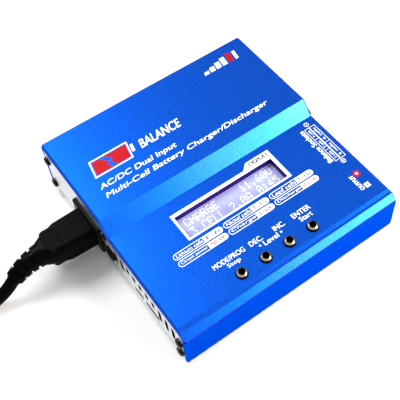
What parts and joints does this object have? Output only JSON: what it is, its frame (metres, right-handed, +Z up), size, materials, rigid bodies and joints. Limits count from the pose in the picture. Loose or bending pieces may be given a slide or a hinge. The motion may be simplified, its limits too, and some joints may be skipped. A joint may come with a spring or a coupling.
{
  "type": "battery charger",
  "caption": "Stepped metal bench charger for model battery packs, with a character display, push buttons, side sockets, a fan and a plug-in mains lead.",
  "frame": {"origin": "middle of the case in plan, on the surface that its feet stand on", "axes": "+X from the mains inlet end to the battery end, +Y from the low front edge to the high back wall, +Z up"},
  "size_m": [0.2855, 0.2024, 0.0377],
  "materials": {
    "blue_anodised": "satin anodised",
    "plate_silver": "satin",
    "black_steel": "blackened gloss",
    "zinc_steel": "plated",
    "foot_rubber": "matt",
    "clear_film": "matt film",
    "black_metal": "satin",
    "display_glass": "polished",
    "display_diffuser": "matt",
    "board_green": "solder resist",
    "black_plastic": "moulded",
    "brass_plated": "plated",
    "ferrite": "sintered",
    "winding_tape": "polyester tape",
    "capacitor_sleeve": "shrink sleeve",
    "capacitor_yellow": "moulded",
    "heat_sink_aluminium": "extruded",
    "socket_black": "moulded",
    "socket_white": "moulded nylon",
    "socket_red": "moulded",
    "contact_metal": "plated",
    "fan_black": "moulded",
    "button_black": "polished",
    "cord_rubber": "satin"
  },
  "bodies": {
    "charger": {"balance_board": "board_green", "balance_pins": "contact_metal", "balance_sockets": "socket_white", "board_screws": "zinc_steel", "board_spacers": "brass_plated", "buzzer": "black_plastic", "control_board": "board_green", "control_chip": "black_plastic", "dc_jack": "socket_black", "dc_jack_pin": "contact_metal", "fan_frame": "fan_black", "fan_screws": "black_steel", "filter_capacitor": "capacitor_yellow", "filter_choke": "ferrite", "heat_sink": "heat_sink_aluminium", "inlet_housing": "socket_black", "inlet_pins": "contact_metal", "insulation_sheet": "clear_film", "lcd_backlight": "display_diffuser", "lcd_bezel": "black_metal", "lcd_board": "board_green", "lcd_glass": "display_glass", "lcd_header": "black_plastic", "left_end_plate": "plate_silver", "left_plate_screws": "black_steel", "lower_shell": "blue_anodised", "mains_capacitor": "capacitor_sleeve", "output_capacitors": "capacitor_sleeve", "output_contacts": "brass_plated", "output_inductor": "ferrite", "output_socket_negative": "socket_black", "output_socket_positive": "socket_red", "power_board": "board_green", "power_transistors": "black_plastic", "probe_port": "socket_black", "rectifier": "black_plastic", "right_end_plate": "plate_silver", "right_plate_screws": "black_steel", "rubber_feet": "foot_rubber", "switch_bodies": "black_plastic", "transformer_core": "ferrite", "transformer_winding": "winding_tape", "upper_shell": "blue_anodised", "usb_port": "socket_black"},
    "button_1": {"button_cap_1": "button_black", "switch_plunger_1": "button_black"},
    "button_2": {"button_cap_2": "button_black", "switch_plunger_2": "button_black"},
    "button_3": {"button_cap_3": "button_black", "switch_plunger_3": "button_black"},
    "button_4": {"button_cap_4": "button_black", "switch_plunger_4": "button_black"},
    "fan": {"fan_rotor": "fan_black"},
    "mains_lead": {"connector_body": "cord_rubber", "connector_relief": "cord_rubber", "mains_cord": "cord_rubber", "mains_cord_coil": "cord_rubber", "mains_cord_tail": "cord_rubber", "mains_plug": "cord_rubber", "plug_blades": "contact_metal"}
  },
  "joints": [
    {"name": "stop_button_press", "type": "slide", "parent": "charger", "child": "button_1", "axis": [0, 0, -1], "range_m": [0, 0.00035], "stiffness_N_per_m": 3000},
    {"name": "down_button_press", "type": "slide", "parent": "charger", "child": "button_2", "axis": [0, 0, -1], "range_m": [0, 0.00035], "stiffness_N_per_m": 3000},
    {"name": "up_button_press", "type": "slide", "parent": "charger", "child": "button_3", "axis": [0, 0, -1], "range_m": [0, 0.00035], "stiffness_N_per_m": 3000},
    {"name": "start_button_press", "type": "slide", "parent": "charger", "child": "button_4", "axis": [0, 0, -1], "range_m": [0, 0.00035], "stiffness_N_per_m": 3000},
    {"name": "fan_spin", "type": "hinge", "parent": "charger", "child": "fan", "pos_m": [0.0626, 0.042, 0.0196], "axis": [1, 0, 0], "continuous": true},
    {"name": "mains_lead_pull", "type": "slide", "parent": "charger", "child": "mains_lead", "axis": [-1, 0, 0], "range_m": [0, 0.017]}
  ]
}
